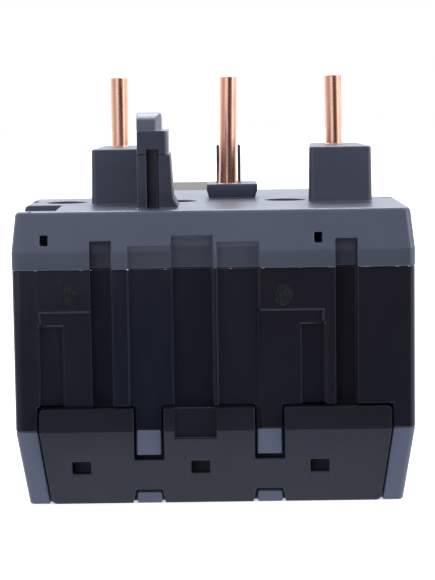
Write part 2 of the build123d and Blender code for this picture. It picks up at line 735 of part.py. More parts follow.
def make_power_terminals():
    for name, x in zip(pole_names, pole_x):
        inside_front = tongue_y + load_bar_thickness + 1.1
        with BuildPart() as cage:
            with BuildSketch(Plane.XY.offset(clamp_bottom_z)):
                back = clamp_back_y
                front = inside_front + clamp_boss
                with Locations((x, (back + front) / 2)):
                    RectangleRounded(clamp_width, front - back, 1.2)
                with Locations((x, (back + clamp_wall + inside_front) / 2)):
                    opening = (clamp_width - 2 * clamp_wall, inside_front - back - clamp_wall)
                    Rectangle(*opening, mode=Mode.SUBTRACT)
            extrude(amount=clamp_height)
            bore = power_screw_diameter / 2 + running_gap
            rod(x, screw_z, (inside_front - 1, front + 1), bore, Mode.SUBTRACT)
        finish(cage, f"clamp_{name}")
        with BuildPart() as screw:
            head_front = terminal_front_y - 2.5 - joint_gap
            head_y = (head_front - power_head_length, head_front)
            tip_y = tongue_y + load_bar_thickness + joint_gap
            rod(x, screw_z, (tip_y, head_y[0]), power_screw_diameter / 2)
            rod(x, screw_z, head_y, power_head_diameter / 2)
            with BuildSketch(Plane.XZ.offset(-head_y[1])):
                with Locations((x, screw_z)):
                    RegularPolygon(2.3, 6)
            extrude(amount=3.0, mode=Mode.SUBTRACT)
            chamfer(screw.edges().filter_by(GeomType.CIRCLE).group_by(Axis.Y)[0], 0.5)
        finish(screw, f"power_screw_{name}")


def make_trip_gear():
    reach = (pole_x[0] - bimetal_offset - 3.0, bar_end_x)
    bar_z = (bar_bottom_z, bar_bottom_z + bar_height)
    half_strip = bimetal_thickness / 2
    with BuildPart() as push_bar:
        block(reach, push_bar_y, bar_z)
        for x in pole_x:
            near = x - bimetal_offset + half_strip + finger_gap
            block((near, near + finger_thickness), (push_bar_y[1] - 0.1, bimetal_y + 2.0), bar_z)
        # end cheek that meets the compensation strip
        block((bar_end_x - 1.5, bar_end_x), (push_bar_y[1] - 0.1, bimetal_y - 2.0), bar_z)
    finish(push_bar, "trip_push_bar")
    with BuildPart() as return_bar:
        block((reach[0], bar_end_x - 1.0), return_bar_y, bar_z)
        for x in pole_x:
            near = x - bimetal_offset - half_strip - finger_gap
            block((near - finger_thickness, near), (bimetal_y - 2.0, return_bar_y[0] + 0.1), bar_z)
    finish(return_bar, "trip_return_bar")
    # trip lever: rocking shaft with a hub for the compensation strip and an arm at the front
    radius = lever_shaft_diameter / 2
    shaft_y = (housing_rear_y + rear_wall - 1.7, housing_front_y - wall + 0.9)
    with BuildPart() as lever:
        rod(lever_shaft_x, lever_shaft_z, shaft_y, radius)
        rod(lever_shaft_x, lever_shaft_z, (bimetal_y - 5.0, bimetal_y + 5.0), 2.3)
        arm_y = (contact_depth[0] + 0.5, contact_depth[1] - 1.5)
        block((contact_touch_x - 1.5, lever_shaft_x), arm_y, around(lever_shaft_z, 2.0))
    finish(lever, "trip_lever")
    with BuildPart() as strip:
        strip_y = around(bimetal_y, 6.0)
        block(lever_arm_x, strip_y, (bar_bottom_z - 0.6, lever_shaft_z - 1.6))
        rod(lever_shaft_x, lever_shaft_z, strip_y, 2.3, Mode.SUBTRACT)
    finish(strip, "compensation_strip")


def make_contact_gear():
    beam_z = around(contact_pivot_z, 2.0)
    with BuildPart() as beam:
        block((contact_reach, contact_touch_x + 1.0), contact_depth, beam_z)
        rod(contact_pivot_x, contact_pivot_z, contact_depth, contact_hub)
        rod(contact_pivot_x, contact_pivot_z, contact_depth, contact_pin_radius + running_gap, Mode.SUBTRACT)
    finish(beam, "contact_lever")
    with BuildPart() as bridge:
        block((contact_reach, contact_reach + 3.0), contact_depth, (beam_z[1], beam_z[1] + 0.8))
        for y in (contact_depth[0] + 1.3, contact_depth[1] - 1.3):
            post(contact_reach + 1.5, y, (beam_z[1] + 0.8, beam_z[1] + 1.4), 1.1)
    finish(bridge, "moving_contact")
    gap_z = beam_z[1] + 1.4 + 2.2
    with BuildPart() as fixed:
        # stationary contact pair on its carrier, hung from the front wall
        carrier_y = (contact_depth[0], housing_front_y - wall)
        block((contact_reach - 0.5, contact_reach + 3.5), carrier_y, (gap_z + 0.6, gap_z + 1.4))
        for y in (contact_depth[0] + 1.3, contact_depth[1] - 1.3):
            post(contact_reach + 1.5, y, (gap_z, gap_z + 0.6), 1.1)
    finish(fixed, "fixed_contact")


def make_aux_block():
    with BuildPart() as block_part:
        with BuildSketch(Plane.YZ.offset(-aux_width / 2)):
            with BuildLine():
                Polyline(
                    (housing_front_y, base_front_height),
                    (terminal_front_y + 0.8, base_front_height),
                    (aux_front_y, base_front_height + 1.6),
                    (aux_front_y, aux_top_z),
                    (housing_front_y, aux_top_z),
                    close=True,
                )
            make_face()
        extrude(amount=aux_width)
        fillet(block_part.edges().filter_by(Axis.Z).group_by(Axis.Y)[-1], 1.0)
        for x in aux_x:
            bay_x = around(x, aux_bay_width)
            bay_y = (aux_plate_y - 0.8, aux_front_y - 1.8)
            block(bay_x, bay_y, (base_front_height + 2.4, aux_top_z - 1.2), Mode.SUBTRACT)
            # wire entry from below and driver hole in the face
            entry = (terminal_front_y + 1.0, aux_front_y - 1.8)
            block(around(x, aux_entry), entry, (base_front_height - 1, base_front_height + 3), Mode.SUBTRACT)
            mouth_y = (aux_front_y - 2.0, aux_front_y + 1)
            rod(x, aux_screw_z, mouth_y, aux_head_diameter / 2 + joint_gap, Mode.SUBTRACT)
            # seat for the screw's tip and slot for the terminal tail
            rod(x, aux_screw_z, (housing_front_y, aux_plate_y), aux_screw_diameter / 2 + 0.4, Mode.SUBTRACT)
            tail_x = around(x, aux_tail_width + 2 * slide_gap)
            tail_z = around(aux_tail_z, aux_plate_thickness + 0.4)
            block(tail_x, (housing_front_y, aux_plate_y), tail_z, Mode.SUBTRACT)
    finish(block_part, "aux_terminal_block")


def make_aux_terminals():
    plate_y = (aux_plate_y - 0.8, aux_plate_y - 0.8 + aux_plate_thickness)
    washer_y = (plate_y[1] + aux_travel + 0.4, plate_y[1] + aux_travel + 1.4)
    head_y = (washer_y[1] + 0.1, aux_front_y - 2.2)
    for i, x in enumerate(aux_x, start=1):
        with BuildPart() as plate:
            plate_z = (base_front_height + 2.6, aux_top_z - 1.4)
            block(around(x, aux_bay_width - 2 * slide_gap), plate_y, plate_z)
            tail_y = (housing_front_y - wall - 1.4, plate_y[1])
            block(around(x, aux_tail_width), tail_y, around(aux_tail_z, aux_plate_thickness))
            bore = aux_screw_diameter / 2 + running_gap
            rod(x, aux_screw_z, (plate_y[0] - 1, plate_y[1] + 1), bore, Mode.SUBTRACT)
        finish(plate, f"aux_plate_{i}")
        with BuildPart() as washer:
            block(around(x, 8.0), washer_y, around(aux_screw_z, 7.6))
            fillet(washer.edges().filter_by(Axis.Y), 0.8)
            rod(x, aux_screw_z, washer_y, bore, Mode.SUBTRACT)
        finish(washer, f"aux_washer_{i}")
        with BuildPart() as screw:
            rod(x, aux_screw_z, (plate_y[0] + 0.2, head_y[0]), aux_screw_diameter / 2)
            rod(x, aux_screw_z, head_y, aux_head_diameter / 2)
            block(around(x, 5.4), (head_y[1] - 1.0, head_y[1] + 0.1), around(aux_screw_z, 0.9), Mode.SUBTRACT)
            block(around(x, 0.9), (head_y[1] - 1.0, head_y[1] + 0.1), around(aux_screw_z, 5.4), Mode.SUBTRACT)
        finish(screw, f"aux_screw_{i}")


def make_head():
    outside_x = (-head_width / 2, head_width / 2)
    with BuildPart() as head:
        # side profile: hood over the housing's front edge, sloping brow, flat face
        with BuildSketch(Plane.YZ.offset(outside_x[0])):
            with BuildLine():
                Polyline(
                    (plateau_front_y, parting_z),
                    (plateau_front_y, head_top_z),
                    (head_front_y - 1.6, head_top_z),
                    (head_front_y, head_top_z - 1.6),
                    (head_front_y, aux_top_z),
                    (housing_front_y, aux_top_z),
                    (housing_front_y, parting_z),
                    close=True,
                )
            make_face()
        extrude(amount=head_width)
        fillet(head.edges().filter_by(Axis.Z).group_by(Axis.Y)[-1], 1.5)
        inside_x = (outside_x[0] + wall, outside_x[1] - wall)
        block(
            inside_x,
            (housing_front_y, head_front_y - head_wall),
            (aux_top_z + 1.4, head_top_z - 1.8),
            Mode.SUBTRACT,
        )
        block(
            inside_x,
            (plateau_front_y + wall, housing_front_y + 0.5),
            (parting_z, head_top_z - 1.8),
            Mode.SUBTRACT,
        )
        # back wall that the button springs stand on
        block(inside_x, (housing_front_y + 0.2, spring_seat_y), (aux_top_z + 1.0, head_top_z - 1.8))
        for x, z, radius in (
            (stop_x, stop_z, stem_radius),
            (stop_x, test_z, 0.9),
            (reset_x, reset_z, stem_radius),
        ):
            rod(x, z, (housing_front_y, spring_seat_y), radius + 0.3, Mode.SUBTRACT)
        # dial well with its bearing boss
        boss_y = (head_front_y - dial_well - 2.2, head_front_y - dial_well)
        rod(dial_x, dial_z, (boss_y[0], head_front_y - head_wall), dial_diameter / 2 + 1.8)
        rod(dial_x, dial_z, (boss_y[1], head_front_y), dial_diameter / 2 + joint_gap, Mode.SUBTRACT)
        rod(dial_x, dial_z, boss_y, dial_shaft_diameter / 2 + running_gap, Mode.SUBTRACT)
        # button holes, and short guide tubes behind them
        for x, z, radius in ((stop_x, stop_z, 3.5), (stop_x, test_z, 2.2), (reset_x, reset_z, 5.3)):
            rod(x, z, (head_front_y - 5.0, head_front_y - head_wall), radius + 1.2)
            rod(x, z, (head_front_y - 5.0, head_front_y), radius + button_gap, Mode.SUBTRACT)
        # trip window and the rails of its flag
        block(around(flag_x, 3.4), (head_front_y - head_wall, head_front_y), (41.0, 47.0), Mode.SUBTRACT)
        for side in (-1, 1):
            rail_x = sorted((flag_x + side * 2.3, flag_x + side * 3.4))
            block(rail_x, (head_front_y - 4.2, head_front_y - head_wall), (aux_top_z + 1.4, head_top_z - 1.8))
        # hinge ears for the dial cover
        for side in (-1, 1):
            ear_x = sorted((dial_x + side * ear_inside, dial_x + side * (ear_inside + 1.8)))
            with BuildSketch(Plane.YZ.offset(ear_x[0])):
                with Locations((cover_hinge_y, cover_hinge_z)):
                    Circle(cover_barrel_radius)
                with Locations((cover_hinge_y, (cover_hinge_z + head_top_z - 1) / 2)):
                    Rectangle(2 * cover_barrel_radius, cover_hinge_z - head_top_z + 1)
            extrude(amount=1.8)
        ear_hole_x = around(dial_x, 2 * (ear_inside + 1.3))
        rod_along_x(ear_hole_x, cover_pin_radius + running_gap, Mode.SUBTRACT)
    finish(head, "control_head")


def rod_along_x(x, radius, mode=Mode.ADD):
    # round bar or bore on the dial cover's hinge line
    with Locations(Location(((x[0] + x[1]) / 2, cover_hinge_y, cover_hinge_z), (0, 90, 0))):
        Cylinder(radius, x[1] - x[0], mode=mode)


def make_dial():
    knob_y = (head_front_y - dial_well + slide_gap, head_front_y + 0.1)
    with BuildPart() as dial:
        rod(dial_x, dial_z, knob_y, dial_diameter / 2)
        rod(dial_x, dial_z, (cam_y - 0.2, knob_y[0]), dial_shaft_diameter / 2)
        # driver slot and pointer notch
        block(around(dial_x, 9.0), (knob_y[1] - 1.0, knob_y[1] + 0.1), around(dial_z, 1.6), Mode.SUBTRACT)
        block(
            around(dial_x, 1.2),
            (knob_y[1] - 0.6, knob_y[1] + 0.1),
            (dial_z + dial_diameter / 2 - 2.2, dial_z + dial_diameter / 2 + 0.2),
            Mode.SUBTRACT,
        )
    finish(dial, "setting_dial")
    with BuildPart() as cam:
        # spiral cam pressed on the shaft: its radius grows steadily with the setting
        with BuildSketch(Plane.XZ.offset(-cam_y)):
            with BuildLine():
                points = []
                for step in range(13):
                    angle = math.radians(step * 25)
                    radius = cam_radius + cam_rise * step / 12
                    points.append((dial_x + radius * math.cos(angle), dial_z + radius * math.sin(angle)))
                curve = Spline(*points)
                Line(curve @ 1, curve @ 0)
            make_face()
        extrude(amount=-cam_thickness)
        rod(dial_x, dial_z, (cam_y - 1, cam_y + cam_thickness + 1), dial_shaft_diameter / 2, Mode.SUBTRACT)
    finish(cam, "setting_cam")


def make_dial_cover():
    plate_y = (head_front_y + 0.4, front_y)
    with BuildPart() as lid:
        rod_along_x(around(dial_x, 2 * ear_inside - 2 * joint_gap), cover_barrel_radius)
        rod_along_x(around(dial_x, 2 * ear_inside + 2.4), cover_pin_radius)
        web_x = around(dial_x, 2 * ear_inside - 2 * joint_gap)
        block(web_x, (cover_hinge_y, plate_y[1]), around(cover_hinge_z, 2.0))
        # squared back of the knuckle
        heel_z = (cover_hinge_z - cover_barrel_radius, cover_hinge_z + cover_barrel_radius - 0.2)
        block(web_x, (cover_hinge_y - cover_barrel_radius, cover_hinge_y), heel_z)
        leaf_y = (plate_y[1] - 1.2, plate_y[1])
        block(around(dial_x, cover_width), leaf_y, (cover_bottom_z, cover_hinge_z + 1.0))
        # shallow rim round the plate and a finger lip below
        for side in (-1, 1):
            edge = dial_x + side * cover_width / 2
            rim = sorted((edge, edge - side * 1.2))
            block(rim, plate_y, (cover_bottom_z, head_top_z - 2.0))
        block(around(dial_x, 8.0), (plate_y[1] - 1.2, plate_y[1]), (cover_bottom_z - 0.9, cover_bottom_z))
        # sealing eye
        eye_x = dial_x - cover_width / 2 + 3.0
        rod(eye_x, cover_bottom_z + 2.4, (plate_y[0] - 1, plate_y[1] + 1), 0.8, Mode.SUBTRACT)
    finish(lid, "dial_cover")


def make_spring(name, x, z, y, mean_radius):
    length = y[1] - y[0] - spring_wire
    with BuildPart() as coil:
        with BuildLine() as path:
            start = (x, y[0] + spring_wire / 2 + 0.02, z)
            Helix(
                pitch=length / spring_turns,
                height=length - 0.04,
                radius=mean_radius,
                center=start,
                direction=(0, 1, 0),
            )
        with BuildSketch(Plane(origin=path.line @ 0, z_dir=path.line % 0)):
            RegularPolygon(spring_wire / 2, 6)
        sweep(path=path.line, is_frenet=True)
    finish(coil, name)


def make_buttons():
    seat_y = spring_seat_y
    with BuildPart() as stop:
        rod(stop_x, stop_z, (head_front_y - 4.4, front_y - 0.2), 3.5)
        fillet(stop.edges().group_by(Axis.Y)[-1], 0.5)
        rod(stop_x, stop_z, (seat_y - 1.2, head_front_y - 4.3), stem_radius)
    finish(stop, "stop_button")
    with BuildPart() as test:
        rod(stop_x, test_z, (head_front_y - 4.4, head_front_y + 1.2), 2.2)
        rod(stop_x, test_z, (housing_front_y + button_travel + 0.3, head_front_y - 4.3), 0.9)
    finish(test, "test_button")
    with BuildPart() as collar:
        # turning ring that selects hand or automatic reset
        rod(reset_x, reset_z, (head_front_y - 4.6, head_front_y + 1.0), 5.3)
        rod(reset_x, reset_z, (head_front_y - 6.2, head_front_y - 5.2), 6.2)
        rod(reset_x, reset_z, (head_front_y - 5.2, head_front_y - 4.6), 5.3)
        rod(reset_x, reset_z, (head_front_y - 7, head_front_y + 2), 3.6 + button_gap, Mode.SUBTRACT)
        block(
            around(reset_x, 1.0),
            (head_front_y + 0.4, head_front_y + 1.1),
            (reset_z + 3.9, reset_z + 5.5),
            Mode.SUBTRACT,
        )
    finish(collar, "reset_selector")
    with BuildPart() as reset:
        rod(reset_x, reset_z, (head_front_y - 5.6, front_y - 0.3), 3.6)
        fillet(reset.edges().group_by(Axis.Y)[-1], 0.5)
        rod(reset_x, reset_z, (housing_front_y - 2.6, head_front_y - 5.5), stem_radius)
    finish(reset, "reset_button")
    make_spring("stop_spring", stop_x, stop_z, (seat_y, head_front_y - 4.4), 2.0)
    make_spring("reset_spring", reset_x, reset_z, (seat_y, head_front_y - 5.6), 2.4)
    make_spring("test_spring", stop_x, test_z, (seat_y, head_front_y - 4.4), 1.6)


def make_flag():
    with BuildPart() as flag:
        flag_z = (aux_top_z + 4.0, aux_top_z + 14.2)
        block(around(flag_x, 4.2), (head_front_y - head_wall - 1.6, head_front_y - head_wall - 0.4), flag_z)
        tail_y = (head_front_y - 11.0, head_front_y - head_wall - 1.6)
        block(around(flag_x, 2.0), tail_y, (flag_z[0], flag_z[0] + 1.2))
    finish(flag, "trip_flag")


def make_housing_screws():
    with BuildPart() as screws:
        for x, y in screw_places:
            post(x, y, (screw_head_z[1], screw_tip_z), housing_screw_radius)
            post(x, y, screw_head_z, housing_screw_head)
            recess_z = (screw_head_z[0] - 0.1, screw_head_z[0] + 1.0)
            block(around(x, 4.0), around(y, 0.8), recess_z, Mode.SUBTRACT)
            block(around(x, 0.8), around(y, 4.0), recess_z, Mode.SUBTRACT)
    finish(screws, "housing_screws")


make_terminal_base()
make_rear_plate()
make_main_housing()
make_top_cover()
make_pins()
make_bimetals()
make_adjusters()
make_load_bars()
make_power_terminals()
make_trip_gear()
make_contact_gear()
make_aux_block()
make_aux_terminals()
make_head()
make_dial()
make_dial_cover()
make_buttons()
make_flag()
make_housing_screws()
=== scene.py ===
import bpy
import bmesh
import json
import math
from mathutils import Matrix, Vector


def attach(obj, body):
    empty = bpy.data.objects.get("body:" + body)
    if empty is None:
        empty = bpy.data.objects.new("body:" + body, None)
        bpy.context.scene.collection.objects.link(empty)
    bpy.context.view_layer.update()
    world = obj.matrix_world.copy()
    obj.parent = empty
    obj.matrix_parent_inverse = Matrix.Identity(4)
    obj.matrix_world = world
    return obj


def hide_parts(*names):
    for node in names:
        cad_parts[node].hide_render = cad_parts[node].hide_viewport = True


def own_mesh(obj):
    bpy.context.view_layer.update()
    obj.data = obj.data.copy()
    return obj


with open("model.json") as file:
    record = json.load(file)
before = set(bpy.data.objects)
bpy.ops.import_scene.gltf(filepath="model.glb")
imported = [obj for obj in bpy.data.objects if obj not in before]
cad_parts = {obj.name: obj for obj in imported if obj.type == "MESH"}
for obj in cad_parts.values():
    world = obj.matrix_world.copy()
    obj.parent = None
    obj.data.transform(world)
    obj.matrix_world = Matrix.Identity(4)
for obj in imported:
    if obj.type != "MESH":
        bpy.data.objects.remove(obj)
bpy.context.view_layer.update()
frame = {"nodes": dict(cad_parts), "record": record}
nodes = frame["nodes"]
mm = 0.001
print("frame loaded:", len(nodes), "nodes")

# merging distance in metres, and the angle under which faces count as one flat face
weldDistance = 2e-6
flatAngle = math.radians(0.8)


class Signal:
    # a socket that can be used in sums
    def __init__(self, finish, socket):
        self.finish = finish
        self.socket = socket

    def maths(self, operation, left, right):
        return self.finish.node("ShaderNodeMath", {"operation": operation}, {0: left, 1: right})

    def __add__(self, other):
        return self.maths("ADD", self, other)

    def __radd__(self, other):
        return self.maths("ADD", other, self)

    def __sub__(self, other):
        return self.maths("SUBTRACT", self, other)

    def __rsub__(self, other):
        return self.maths("SUBTRACT", other, self)

    def __mul__(self, other):
        return self.maths("MULTIPLY", self, other)

    def __gt__(self, other):
        return self.maths("GREATER_THAN", self, other)


class Nodes:
    # a node tree, with a plain way to add nodes to it
    def __init__(self, tree):
        self.tree = tree

    def node(self, kind, settings=None, sockets=None, output=0):
        made = self.tree.nodes.new(kind)
        for key, value in (settings or {}).items():
            if key == "stops":
                ramp = made.color_ramp
                while len(ramp.elements) > 1:
                    ramp.elements.remove(ramp.elements[-1])
                for i, (position, colour) in enumerate(value):
                    stop = ramp.elements[0] if i == 0 else ramp.elements.new(position)
                    stop.position = position
                    stop.color = (*colour, 1)
            else:
                setattr(made, key, value)
        for key, value in (sockets or {}).items():
            if isinstance(value, Signal):
                self.tree.links.new(value.socket, made.inputs[key])
            else:
                made.inputs[key].default_value = value
        return Signal(self, made.outputs[output])

    def ramp(self, value, low, high, bottom=0.0, top=1.0, interpolation="LINEAR"):
        return self.node("ShaderNodeMapRange", {"interpolation_type": interpolation},
                         {"Value": value, "From Min": low, "From Max": high, "To Min": bottom, "To Max": top})


class Finish(Nodes):
    # one material
    def __init__(self, name):
        self.material = bpy.data.materials.new(name)
        self.material.use_nodes = True
        super().__init__(self.material.node_tree)
        self.shader = self.tree.nodes["Principled BSDF"]
        self.place = self.node("ShaderNodeTexCoord", output="Object")

    def noise(self, scale, detail=3, stretch=(1, 1, 1), rough=0.5):
        where = self.node("ShaderNodeMapping", None, {"Vector": self.place, "Scale": stretch})
        return self.node("ShaderNodeTexNoise", None, {"Vector": where, "Scale": scale, "Detail": detail,
                                                      "Roughness": rough})

    def mix(self, factor, first, second, blend="MIX"):
        return self.node("ShaderNodeMix", {"data_type": "RGBA", "blend_type": blend, "clamp_factor": True},
                         {0: factor, 6: first, 7: second}, output=2)

    def bump(self, height, strength, distance):
        return self.node("ShaderNodeBump", None, {"Height": height, "Strength": strength, "Distance": distance})

    def feed(self, **sockets):
        for key, value in sockets.items():
            socket = self.shader.inputs[key.replace("_", " ")]
            if isinstance(value, Signal):
                self.tree.links.new(value.socket, socket)
            else:
                socket.default_value = value
        return self.material


def rgb(red, green, blue):
    # colour as seen on screen, to the linear value that a shader takes
    return tuple(((c / 255 + 0.055) / 1.055) ** 2.4 if c > 10 else c / 255 / 12.92 for c in (red, green, blue)) + (1,)


def tint(colour, factor):
    return tuple(min(1, c * factor) for c in colour[:3]) + (1,)


def mouldedPlastic(name, look):
    # moulded plastic: flow marks, spark grain, handling dust and a few pale specks
    f = Finish(name)
    colour = look["colour"]
    cloud = f.noise(look.get("cloudScale", 60), 4)
    grain = f.noise(look["grainScale"], 3, rough=0.6)
    fine = f.noise(look["grainScale"] * 3.1, 2)
    base = f.mix(f.ramp(cloud, 0.3, 0.7), tint(colour, 1 - look["variation"]), tint(colour, 1 + look["variation"]))
    base = f.mix(f.ramp(grain, 0.35, 0.7, 0, look["grainTone"]), base, tint(colour, 1.9))
    speckCells = f.node("ShaderNodeTexVoronoi", {"feature": "F1"}, {"Vector": f.place, "Scale": look["speckScale"],
                                                                   "Randomness": 1.0}, output="Distance")
    chosen = f.noise(look["speckScale"] * 0.23, 1) > look.get("speckCut", 0.66)
    speck = (0.05 - speckCells > 0.0) * chosen
    base = f.mix(speck * look["speckTone"], base, rgb(214, 216, 220))
    rubbed = f.noise(look["grainScale"] * 0.06, 5, stretch=(1, 1, 0.25))
    rough = look["rough"] + (rubbed - 0.5) * look["roughRange"] + speck * 0.2
    height = grain * 0.7 + fine * 0.3
    return f.feed(Base_Color=base, Roughness=rough, Normal=f.bump(height, look["grainDepth"], 0.00012),
                  IOR=look.get("ior", 1.5))


def glossyBlack(name, look):
    # polished thermoset: slow waviness, hairline scuffs, brown and blue cast
    f = Finish(name)
    broad = f.noise(24, 3, stretch=(1, 1, 0.35))
    wave = f.noise(90, 2, stretch=(1, 1, 0.2))
    scuff = f.noise(900, 6, stretch=(1, 1, 0.12), rough=0.7)
    base = f.mix(f.ramp(broad, 0.35, 0.65), look["cool"], look["warm"])
    dust = f.ramp(f.noise(3200, 2), 0.7, 0.8, 0, 0.5)
    base = f.mix(dust, base, rgb(74, 76, 82))
    rough = look["rough"] + f.ramp(scuff, 0.45, 0.8, 0, look["scuffRough"])
    height = wave * 0.9 + f.noise(1500, 2) * 0.02
    return f.feed(Base_Color=base, Roughness=rough, Normal=f.bump(height, look["waveDepth"], 0.0006), IOR=1.5)


def drawnCopper(name, look):
    # cold-drawn rod: streaks along the draw, mottled oxide and darker spots
    f = Finish(name)
    streak = f.noise(1400, 5, stretch=(1, 1, 0.03), rough=0.65)
    mottle = f.noise(260, 4, stretch=(1, 1, 0.35))
    spots = f.ramp(f.noise(700, 3, stretch=(1, 1, 0.5)), 0.62, 0.74)
    base = f.mix(f.ramp(mottle, 0.35, 0.7), look["bright"], look["dull"])
    base = f.mix(f.ramp(streak, 0.5, 0.75, 0, 0.55), base, look["streak"])
    base = f.mix(spots * 0.35, base, look["spot"])
    rough = look["rough"] + f.ramp(streak, 0.35, 0.75, 0, 0.16) + spots * 0.12
    return f.feed(Base_Color=base, Metallic=1.0, Roughness=rough, Normal=f.bump(streak, 0.35, 0.00006))


def workedMetal(name, look):
    # plated or rolled metal with fine tool lines
    f = Finish(name)
    lines = f.noise(look.get("lineScale", 2600), 4, stretch=look.get("along", (0.08, 1, 1)))
    cloud = f.noise(220, 4)
    base = f.mix(f.ramp(cloud, 0.3, 0.7), tint(look["colour"], 0.82), tint(look["colour"], 1.08))
    base = f.mix(f.ramp(lines, 0.55, 0.8, 0, 0.3), base, tint(look["colour"], 0.55))
    rough = look["rough"] + f.ramp(lines, 0.3, 0.8, -0.05, 0.12)
    return f.feed(Base_Color=base, Metallic=1.0, Roughness=rough, Normal=f.bump(lines, 0.25, 0.00004))


finishes = {
    "cover_plastic": mouldedPlastic("coverGrey", {
        "colour": rgb(74, 80, 94), "variation": 0.06, "grainScale": 2600, "grainTone": 0.10, "grainDepth": 0.3,
        "rough": 0.33, "roughRange": 0.14, "speckScale": 420, "speckTone": 0.8}),
    "base_plastic": mouldedPlastic("baseGrey", {
        "colour": rgb(88, 95, 112), "variation": 0.04, "grainScale": 3000, "grainTone": 0.08, "grainDepth": 0.2,
        "rough": 0.38, "roughRange": 0.12, "speckScale": 420, "speckTone": 0.5}),
    "plate_plastic": mouldedPlastic("plateGrey", {
        "colour": rgb(31, 34, 45), "variation": 0.09, "grainScale": 1900, "grainTone": 0.16, "grainDepth": 0.3,
        "rough": 0.27, "roughRange": 0.16, "speckScale": 520, "speckTone": 0.75, "cloudScale": 110}),
    "block_plastic": mouldedPlastic("blockBlack", {
        "colour": rgb(38, 39, 43), "variation": 0.06, "grainScale": 2600, "grainTone": 0.08, "grainDepth": 0.3,
        "rough": 0.42, "roughRange": 0.12, "speckScale": 420, "speckTone": 0.4}),
    "lever_plastic": mouldedPlastic("naturalNylon", {
        "colour": rgb(208, 198, 172), "variation": 0.05, "grainScale": 2600, "grainTone": 0.04, "grainDepth": 0.2,
        "rough": 0.42, "roughRange": 0.1, "speckScale": 420, "speckTone": 0.2}),
    "ivory_plastic": mouldedPlastic("ivory", {
        "colour": rgb(212, 209, 196), "variation": 0.03, "grainScale": 3000, "grainTone": 0.02, "grainDepth": 0.12,
        "rough": 0.3, "roughRange": 0.1, "speckScale": 420, "speckTone": 0.2}),
    "dial_plastic": mouldedPlastic("dialWhite", {
        "colour": rgb(186, 186, 181), "variation": 0.03, "grainScale": 2600, "grainTone": 0.02, "grainDepth": 0.2,
        "rough": 0.4, "roughRange": 0.1, "speckScale": 420, "speckTone": 0.1}),
    "red_plastic": mouldedPlastic("stopRed", {
        "colour": rgb(190, 32, 30), "variation": 0.05, "grainScale": 2800, "grainTone": 0.03, "grainDepth": 0.15,
        "rough": 0.32, "roughRange": 0.1, "speckScale": 420, "speckTone": 0.2}),
    "yellow_plastic": mouldedPlastic("testYellow", {
        "colour": rgb(226, 176, 40), "variation": 0.05, "grainScale": 2800, "grainTone": 0.03, "grainDepth": 0.15,
        "rough": 0.34, "roughRange": 0.1, "speckScale": 420, "speckTone": 0.2}),
    "blue_plastic": mouldedPlastic("resetBlue", {
        "colour": rgb(30, 78, 160), "variation": 0.05, "grainScale": 2800, "grainTone": 0.03, "grainDepth": 0.15,
        "rough": 0.32, "roughRange": 0.1, "speckScale": 420, "speckTone": 0.2}),
    "flag_plastic": mouldedPlastic("flagOrange", {
        "colour": rgb(232, 120, 30), "variation": 0.04, "grainScale": 2800, "grainTone": 0.03, "grainDepth": 0.15,
        "rough": 0.45, "roughRange": 0.1, "speckScale": 420, "speckTone": 0.1}),
    "housing_plastic": glossyBlack("housingBlack", {
        "cool": rgb(26, 30, 41), "warm": rgb(34, 31, 37), "rough": 0.12, "scuffRough": 0.1, "waveDepth": 0.02}),
    "copper": drawnCopper("drawnCopper", {
        "bright": rgb(242, 190, 162), "dull": rgb(228, 166, 138), "streak": rgb(204, 134, 106),
        "spot": rgb(160, 100, 80), "rough": 0.2}),
    "tinned_copper": workedMetal("strapCopper", {"colour": rgb(205, 178, 160), "rough": 0.3}),
    "brass": workedMetal("terminalBrass", {"colour": rgb(214, 184, 122), "rough": 0.28}),
    "heater_ribbon": workedMetal("heaterRibbon", {"colour": rgb(150, 146, 140), "rough": 0.4}),
    "bimetal_strip": workedMetal("bimetal", {"colour": rgb(186, 182, 176), "rough": 0.32, "along": (1, 1, 0.08)}),
    "zinc_steel": workedMetal("zincSteel", {"colour": rgb(205, 207, 210), "rough": 0.26}),
    "spring_steel": workedMetal("springSteel", {"colour": rgb(170, 170, 174), "rough": 0.24}),
    "contact_silver": workedMetal("contactSilver", {"colour": rgb(230, 230, 226), "rough": 0.2}),
}
# edges that turn by more than this are rounded, in degrees
bevelAngle = 30
slotOf = {s["node"]: s["material_slot"] for s in frame["record"]["subparts"]}
for name, node in nodes.items():
    node.data.materials.clear()
    node.data.materials.append(finishes[slotOf[name]])
print("finishes:", len(finishes))


def finishPiece(bm, name, body, slot, replaced=(), smooth=True, bevel=None, material=None, others=()):
    mesh = bpy.data.meshes.new(name)
    bm.to_mesh(mesh)
    bm.free()
    piece = bpy.data.objects.new(name, mesh)
    bpy.context.scene.collection.objects.link(piece)
    mesh.materials.append(material or finishes[slot])
    for other in others:
        mesh.materials.append(other)
    if smooth:
        for face in mesh.polygons:
            face.use_smooth = True
    if bevel:
        rounding = piece.modifiers.new("edges", "BEVEL")
        rounding.width = bevel["width"] * mm
        rounding.segments = bevel.get("segments", 2)
        rounding.limit_method = "WEIGHT" if bevel.get("convexOnly") else "ANGLE"
        rounding.angle_limit = math.radians(bevel.get("angle", bevelAngle))
        rounding.use_clamp_overlap = False
        flats = piece.modifiers.new("flats", "WEIGHTED_NORMAL")
        flats.mode = "FACE_AREA"
        flats.weight = 80
    if replaced:
        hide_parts(*replaced)
    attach(piece, body)
    return piece


def copySolid(node, joinFlats=True):
    # merged copy of a CAD solid
    bm = bmesh.new()
    bm.from_mesh(nodes[node].data)
    bmesh.ops.remove_doubles(bm, verts=bm.verts, dist=weldDistance)
    if joinFlats:
        bmesh.ops.dissolve_limit(bm, angle_limit=flatAngle, verts=bm.verts, edges=bm.edges,
                                 use_dissolve_boundaries=False, delimit={"NORMAL"})
    return bm


